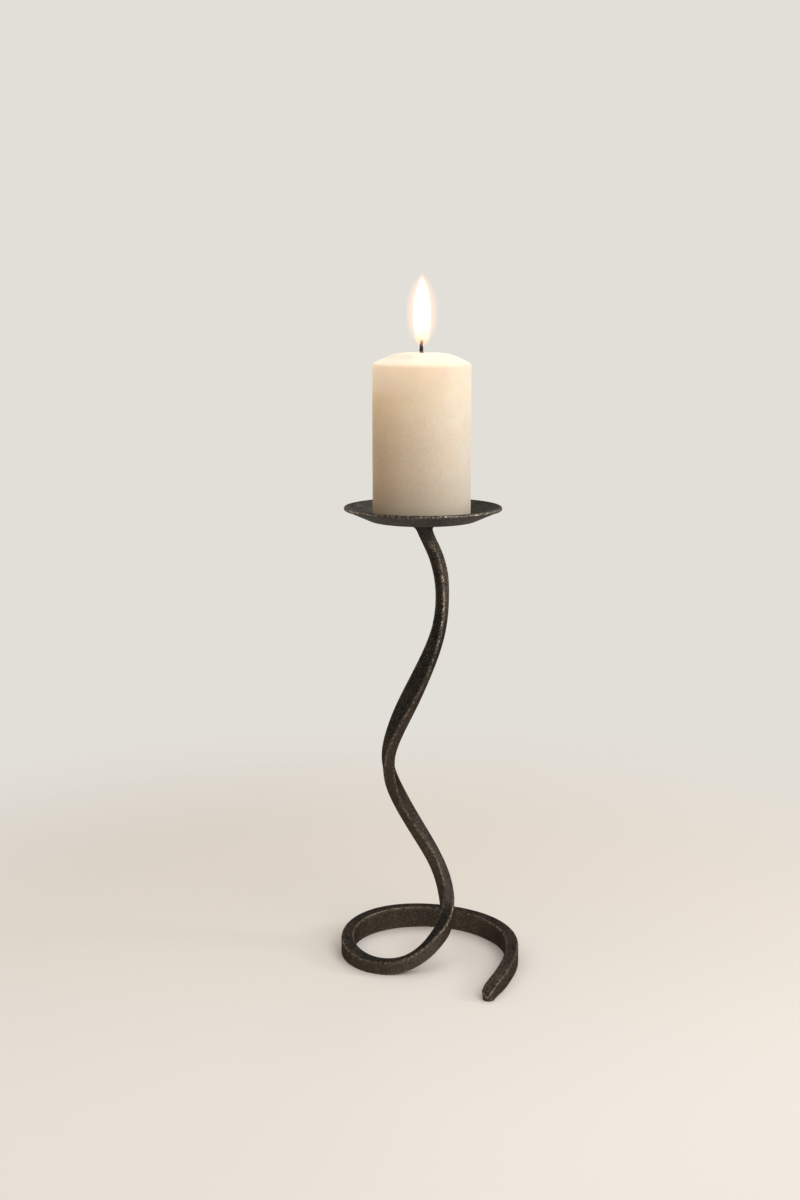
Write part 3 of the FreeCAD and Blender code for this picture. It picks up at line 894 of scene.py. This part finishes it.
def forged_group():
    """Blackened iron: black and brown under fine bare flecks. It is browner in slow patches and
    where the painted sheen input is high, a painted reflection of the floor's light. Where the
    wear and highlight input is high it turns to the bare tone, partly rubbed bare and partly
    painted highlight, broken up by a coarse noise and a speckle."""
    group = bpy.data.node_groups.new("forged_iron_surface", "ShaderNodeTree")
    face = group.interface
    for in_out, kind, names in (
            ("INPUT", "NodeSocketColor", ("Dark", "Brown", "Bare")),
            ("INPUT", "NodeSocketFloat", ("Painted_Sheen", "Wear_And_Highlight", "Wear_And_Highlight_Amount", "Flecks")),
            ("OUTPUT", "NodeSocketColor", ("Color",)),
            ("OUTPUT", "NodeSocketFloat", ("Roughness", "Height"))):
        for name in names:
            face.new_socket(name=name, in_out=in_out, socket_type=kind)
    given = add(group, "NodeGroupInput")
    place = add(group, "ShaderNodeTexCoord").outputs["Object"]
    grain = noise(group, place, IRON_GRAIN, 2.0, 0.7)
    coarse = noise(group, place, IRON_COARSE, 3.0, 0.6)
    patches = noise(group, place, IRON_PATCHES, 3.0, 0.6)
    patch_share = mapped(group, patches, 0.36, 0.68)
    brown_and_sheen = math_node(group, "MULTIPLY", given.outputs["Painted_Sheen"], 0.7)
    brown_and_sheen = math_node(group, "MULTIPLY_ADD", patch_share, 0.3, brown_and_sheen)
    colour = mixed(group, brown_and_sheen, given.outputs["Dark"], given.outputs["Brown"])
    fleck = mapped(group, grain, 0.49, 0.61)
    spread = math_node(group, "MULTIPLY_ADD", patch_share, 0.4, 0.6)
    scattered = math_node(group, "MULTIPLY", fleck, spread)
    scattered = math_node(group, "MULTIPLY", scattered, given.outputs["Flecks"])
    broken = mapped(group, coarse, 0.36, 0.56)
    speckle = noise(group, place, IRON_SPECKLE, 1.0, 0.5)
    dense = mapped(group, speckle, 0.42, 0.58, 0.15, 1.0)
    bare_and_highlight = math_node(group, "MULTIPLY", given.outputs["Wear_And_Highlight"], broken)
    bare_and_highlight = math_node(group, "MULTIPLY", bare_and_highlight, dense)
    bare_and_highlight = math_node(group, "MULTIPLY", bare_and_highlight, given.outputs["Wear_And_Highlight_Amount"])
    share = math_node(group, "MAXIMUM", scattered, bare_and_highlight)
    colour = mixed(group, share, colour, given.outputs["Bare"])
    rough = math_node(group, "MULTIPLY_ADD", coarse, 0.20, 0.46)
    rough = math_node(group, "MULTIPLY_ADD", share, -0.22, rough)
    height = math_node(group, "MULTIPLY_ADD", coarse, 1.2, grain)
    add(group, "NodeGroupOutput", {"Color": colour, "Roughness": rough, "Height": height})
    return group


def iron(name, group, tones, wear_and_highlight_amount, flecks, relief, edge_tint):
    """Iron finish with its own dark, brown and bare tones, amount of wear and painted highlight,
    flecks and depth of grain. The edge tint is the share of the shine that is left at a flat
    angle."""
    material, tree, shader = new_finish(name)
    dark, brown, bare = tones
    wear_and_highlight = add(tree, "ShaderNodeAttribute", attribute_name="wear_and_highlight").outputs["Fac"]
    brown_and_sheen = add(tree, "ShaderNodeAttribute", attribute_name="brown").outputs["Fac"]
    surface = add(tree, "ShaderNodeGroup", node_tree=group)
    for socket, value in (("Dark", dark), ("Brown", brown), ("Bare", bare), ("Wear_And_Highlight_Amount", wear_and_highlight_amount),
                          ("Flecks", flecks)):
        surface.inputs[socket].default_value = value
    tree.links.new(wear_and_highlight, surface.inputs["Wear_And_Highlight"])
    tree.links.new(brown_and_sheen, surface.inputs["Painted_Sheen"])
    bump = add(tree, "ShaderNodeBump", {"Strength": 0.8, "Distance": relief,
                                        "Height": surface.outputs["Height"]})
    tree.links.new(surface.outputs["Color"], shader.inputs["Base Color"])
    tree.links.new(surface.outputs["Roughness"], shader.inputs["Roughness"])
    tree.links.new(bump.outputs["Normal"], shader.inputs["Normal"])
    shader.inputs["Metallic"].default_value = 0.9
    shader.inputs["Specular Tint"].default_value = (edge_tint, edge_tint, edge_tint, 1)
    return material


def wax_finish():
    """Ivory wax: light goes a few millimetres into it, and the pool round the wick is wet. A
    painted glow, emission round a place left of the axis below the top, lightens it near the
    flame, most on its shaded left side. Painted shade darkens it low down, and more just above
    the pan."""
    material, tree, shader = new_finish("ivory_wax")
    place, height = place_on_piece(tree)
    mottle = noise(tree, place, WAX_MOTTLE, 3.0, 0.6)
    fine = noise(tree, place, WAX_GRAIN, 2.0, 0.7)
    tone = mixed(tree, mapped(tree, mottle, 0.3, 0.7), WAX_TONE, WAX_PALE_TONE)
    # Painted shade: the wax darkens towards the pan, most just above it.
    shade_low_down = mapped(tree, height, CANDLE_TOP - WAX_LOW_START, PAN_FLOOR, 0.0, 0.75)
    tone = mixed(tree, shade_low_down, tone, WAX_LOW_SHADE_TONE)
    shade_at_foot = mapped(tree, height, PAN_FLOOR + WAX_FOOT_HEIGHT, PAN_FLOOR, 0.0, 0.55)
    tone = mixed(tree, shade_at_foot, tone, WAX_FOOT_SHADE_TONE)
    spots = mapped(tree, fine, 0.40, 0.64, 0.0, 0.14)
    more_low = mapped(tree, height, CANDLE_TOP, CANDLE_TOP - WAX_SPOT_REACH, 0.4, 1.3)
    tone = mixed(tree, math_node(tree, "MULTIPLY", spots, more_low), tone, WAX_SPOT_TONE)
    tree.links.new(tone, shader.inputs["Base Color"])
    shader.inputs["Subsurface Weight"].default_value = 0.9
    shader.inputs["Subsurface Radius"].default_value = (1.0, 0.5, 0.25)
    shader.inputs["Subsurface Scale"].default_value = WAX_LIGHT_DEPTH
    shader.inputs["Specular IOR Level"].default_value = 0.2
    # Painted glow: emission round a place left of the axis lightens the shaded side near the
    # flame.
    glow_place = (CANDLE_AXIS[0] - GLOW_LEFT, CANDLE_AXIS[1], CANDLE_TOP - GLOW_DEPTH)
    distance = distance_from(tree, place, glow_place)
    shoulder = mapped(tree, height, CANDLE_TOP - SHOULDER_GLOW_LOW,
                      CANDLE_TOP - SHOULDER_GLOW_HIGH, 1.0, 0.30)
    glow = NO_LIGHT
    for end, full, light in ((GLOW_END, GLOW_FULL, WAX_PAINTED_GLOW),
                             (BRIGHT_GLOW_END, BRIGHT_GLOW_FULL, WAX_PAINTED_BRIGHT_GLOW)):
        near = math_node(tree, "MULTIPLY", mapped(tree, distance, end, full), shoulder)
        glow = mixed(tree, near, glow, light)
    tree.links.new(glow, shader.inputs["Emission Color"])
    shader.inputs["Emission Strength"].default_value = 0.44
    reach = distance_from(tree, place, (CANDLE_AXIS[0], CANDLE_AXIS[1], 0.0), (1.0, 1.0, 0.0))
    top = mapped(tree, height, CANDLE_TOP - WET_DEPTH, CANDLE_TOP - WET_FULL_DEPTH)
    wet = math_node(tree, "MULTIPLY", mapped(tree, reach, WET_END, WET_RADIUS), top)
    rough = math_node(tree, "MULTIPLY_ADD", fine, 0.14, 0.40)
    rough = math_node(tree, "MULTIPLY_ADD", wet, -0.38, rough)
    tree.links.new(rough, shader.inputs["Roughness"])
    relief = math_node(tree, "MULTIPLY_ADD", mottle, 1.5, fine)
    bump = add(tree, "ShaderNodeBump", {"Strength": 0.5, "Distance": WAX_RELIEF,
                                        "Height": relief})
    tree.links.new(bump.outputs["Normal"], shader.inputs["Normal"])
    return material


def wick_finish():
    """Charred cotton: black and crusty, with brown flecks, and paler where the wax wets it."""
    material, tree, shader = new_finish("charred_cotton")
    place, height = place_on_piece(tree)
    crust = noise(tree, place, CHAR_CRUST, 3.0, 0.7)
    flecks = mapped(tree, noise(tree, place, CHAR_FLECKS, 1.0, 0.5), 0.58, 0.66)
    charred = mixed(tree, flecks, CHAR_TONE, CHAR_FLECK_TONE)
    soaked = mapped(tree, height, CANDLE_TOP + SOAKED_START, CANDLE_TOP - SOAKED_DEPTH)
    colour = mixed(tree, soaked, charred, SOAKED_TONE)
    tree.links.new(colour, shader.inputs["Base Color"])
    shader.inputs["Roughness"].default_value = 0.85
    bump = add(tree, "ShaderNodeBump", {"Strength": 1.0, "Distance": CHAR_RELIEF,
                                        "Height": crust})
    tree.links.new(bump.outputs["Normal"], shader.inputs["Normal"])
    return material


def flame_finish(name, colours, strength, alpha, soft=0.0):
    """Light of the flame: its colour changes from the foot upwards, and it thins out at the
    foot, where the wick shows through. A soft flame thins out towards its outline too."""
    material, tree, shader = new_finish(name)
    place, height = place_on_piece(tree)
    foot = flame_low[2]
    tall = flame_high[2] - foot
    above_foot = mapped(tree, height, foot, foot + FLAME_WARM_SHARE * tall)
    colour = mixed(tree, above_foot, *colours)
    tree.links.new(colour, shader.inputs["Emission Color"])
    shader.inputs["Emission Strength"].default_value = strength
    shader.inputs["Base Color"].default_value = NO_LIGHT
    shader.inputs["Specular IOR Level"].default_value = 0.0
    shader.inputs["Roughness"].default_value = 1.0
    thin = mapped(tree, height, foot - FLAME_CLEAR_DEPTH * tall,
                  foot + FLAME_CLEAR_SHARE * tall, 0.0, alpha)
    if soft:
        edge = add(tree, "ShaderNodeLayerWeight", {"Blend": 0.5}).outputs["Facing"]
        inward = math_node(tree, "SUBTRACT", 1.0, edge)
        thin = math_node(tree, "MULTIPLY", thin, math_node(tree, "POWER", inward, soft))
    tree.links.new(thin, shader.inputs["Alpha"])
    return material


# Stage.

def make_floor():
    """Pale floor that fades into the backdrop all round the object. Painted shade darkens it
    towards the back.
    """
    mesh = bpy.data.meshes.new("floor")
    corners = np.array([(-1, -1, 0), (1, -1, 0), (1, 1, 0), (-1, 1, 0)]) * FLOOR_REACH
    mesh.from_pydata(corners, [], [(0, 1, 2, 3)])
    material, tree, shader = new_finish("pale_floor")
    shader.inputs["Roughness"].default_value = 0.9
    shader.inputs["Specular IOR Level"].default_value = 0.1
    place = add(tree, "ShaderNodeTexCoord").outputs["Object"]
    back = add(tree, "ShaderNodeSeparateXYZ", {"Vector": place}).outputs["Y"]
    # Painted shade: the floor is darker towards the back.
    back_shade = mapped(tree, back, -FLOOR_TONE_REACH, FLOOR_TONE_REACH)
    tone = mixed(tree, back_shade, FLOOR_FRONT_TONE, FLOOR_BACK_SHADE_TONE)
    tree.links.new(tone, shader.inputs["Base Color"])
    away = distance_from(tree, place, (PAN_AXIS[0], PAN_AXIS[1], 0.0))
    fade = mapped(tree, away, FLOOR_FADE_START, FLOOR_FADE_END)
    clear = add(tree, "ShaderNodeBsdfTransparent")
    mix = add(tree, "ShaderNodeMixShader", {0: fade, 1: shader.outputs[0],
                                            2: clear.outputs[0]})
    tree.links.new(mix.outputs[0], tree.nodes["Material Output"].inputs["Surface"])
    mesh.materials.append(material)
    floor = put("floor", mesh)


def make_world():
    """Soft studio light. The camera sees a plain pale backdrop, and so do reflections towards
    the back, while those that go forward or up see a dim room. The object is lit by a bright
    ceiling, a warm dim left and a brighter right."""
    world = bpy.data.worlds.new("studio")
    bpy.context.scene.world = world
    world.use_nodes = True
    tree = world.node_tree
    tree.nodes.clear()
    direction = add(tree, "ShaderNodeTexCoord").outputs["Generated"]
    parts = add(tree, "ShaderNodeSeparateXYZ", {"Vector": direction})
    rightward = mapped(tree, parts.outputs["X"], -0.7, 0.8)
    upward = mapped(tree, parts.outputs["Z"], 0.35, 0.85)
    backward = mapped(tree, parts.outputs["Y"], -0.35, 0.35)
    walls = mixed(tree, rightward, LEFT_LIGHT, RIGHT_LIGHT)
    studio = mixed(tree, upward, walls, CEILING_LIGHT)
    mirrored = mixed(tree, backward, DIM_ROOM, BACKDROP)
    mirrored = mixed(tree, upward, mirrored, DIM_CEILING)
    lit = add(tree, "ShaderNodeBackground", {"Color": studio, "Strength": 1.0})
    mirror = add(tree, "ShaderNodeBackground", {"Color": mirrored, "Strength": 1.0})
    backdrop = add(tree, "ShaderNodeBackground", {"Color": BACKDROP, "Strength": 1.0})
    path = add(tree, "ShaderNodeLightPath")
    reflected = math_node(tree, "MAXIMUM", path.outputs["Is Glossy Ray"],
                          path.outputs["Is Transmission Ray"])
    mix = add(tree, "ShaderNodeMixShader", {0: reflected, 1: lit.outputs[0],
                                            2: mirror.outputs[0]})
    mix = add(tree, "ShaderNodeMixShader", {0: path.outputs["Is Camera Ray"],
                                            1: mix.outputs[0], 2: backdrop.outputs[0]})
    add(tree, "ShaderNodeOutputWorld", {"Surface": mix.outputs[0]})


def make_lamp(name, place, size, power, colour):
    """Square soft lamp at a place, turned to the axis of the pan."""
    data = bpy.data.lights.new(name, "AREA")
    data.size = size
    data.energy = power
    data.color = colour
    lamp = put(name, data)
    aim = (PAN_AXIS[0], PAN_AXIS[1], LAMP_AIM_HEIGHT)
    direction = Vector(aim) - Vector(place)
    lamp.location = place
    lamp.rotation_euler = direction.to_track_quat("-Z", "Y").to_euler()


def make_flame_lamp():
    """Faint warm light of the flame, which goes with the candle."""
    data = bpy.data.lights.new("flame_lamp", "POINT")
    data.energy = FLAME_LAMP_POWER
    data.color = FLAME_LAMP_COLOUR
    data.shadow_soft_size = FLAME_LAMP_RADIUS
    lamp = put("flame_lamp", data)
    lamp.location = (CANDLE_AXIS[0], CANDLE_AXIS[1], CANDLE_TOP + FLAME_LAMP_HEIGHT)
    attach(lamp, "candle")


def make_camera():
    """Camera that looks straight back, a little down."""
    data = bpy.data.cameras.new("camera")
    data.lens = CAMERA_LENS
    data.sensor_width = CAMERA_SENSOR
    camera = put("camera", data)
    camera.location = (PAN_AXIS[0] + CAMERA_RIGHT, PAN_AXIS[1] - CAMERA_BACK, CAMERA_HEIGHT)
    camera.rotation_euler = (math.pi / 2 - CAMERA_PITCH, 0, 0)
    bpy.context.scene.camera = camera


def place_piece(piece, material, node, body):
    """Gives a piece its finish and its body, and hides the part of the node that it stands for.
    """
    piece.data.materials.append(material)
    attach(piece, body)
    if node:
        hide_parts(node)
    return piece


forged = forged_group()
bar_iron = iron("blackened_bar", forged, BAR_TONES, wear_and_highlight_amount=0.85, flecks=0.32,
                relief=IRON_RELIEF, edge_tint=0.15)
pan_iron = iron("blackened_sheet", forged, PAN_TONES, wear_and_highlight_amount=1.1, flecks=0.40,
                relief=IRON_RELIEF, edge_tint=0.45)
spike_iron = iron("filed_iron", forged, SPIKE_TONES, wear_and_highlight_amount=1.0, flecks=0.2,
                  relief=FILED_RELIEF, edge_tint=0.5)
wax = wax_finish()
cotton = wick_finish()
core_light = flame_finish("white_flame", CORE_COLOURS, strength=1.8, alpha=1.0)
edge_light = flame_finish("warm_flame", EDGE_COLOURS, strength=1.5, alpha=0.6, soft=0.3)
halo_light = flame_finish("flame_halo", HALO_COLOURS, strength=1.3, alpha=0.28, soft=1.3)

place_piece(make_stem(), bar_iron, "stem_bar", "holder")
place_piece(make_pan(), pan_iron, "drip_pan", "holder")
place_piece(make_spike(), spike_iron, "candle_spike", "holder")
place_piece(make_candle(), wax, "pillar_candle", "candle")
place_piece(make_wick(), cotton, "wick", "candle")
edge = make_flame("flame_edge", 1.0, 0.0, 1.0)
core = make_flame("flame_core", CORE_WIDTH_SHARE, 0.0, CORE_TIP_SHARE)
lights = [place_piece(edge, edge_light, "flame", "candle"),
          place_piece(core, core_light, None, "candle")]
for number, margin in enumerate(HALO_MARGINS, start=1):
    halo = make_flame(f"flame_halo_{number}", 1.0, HALO_FOOT_SHARE, 1.0, margin)
    lights.append(place_piece(halo, halo_light, None, "candle"))
for light in lights:
    light.visible_shadow = False

make_floor()
make_world()
for lamp in LAMPS:
    make_lamp(*lamp)
make_flame_lamp()
make_camera()
bpy.context.scene.view_settings.view_transform = "Standard"
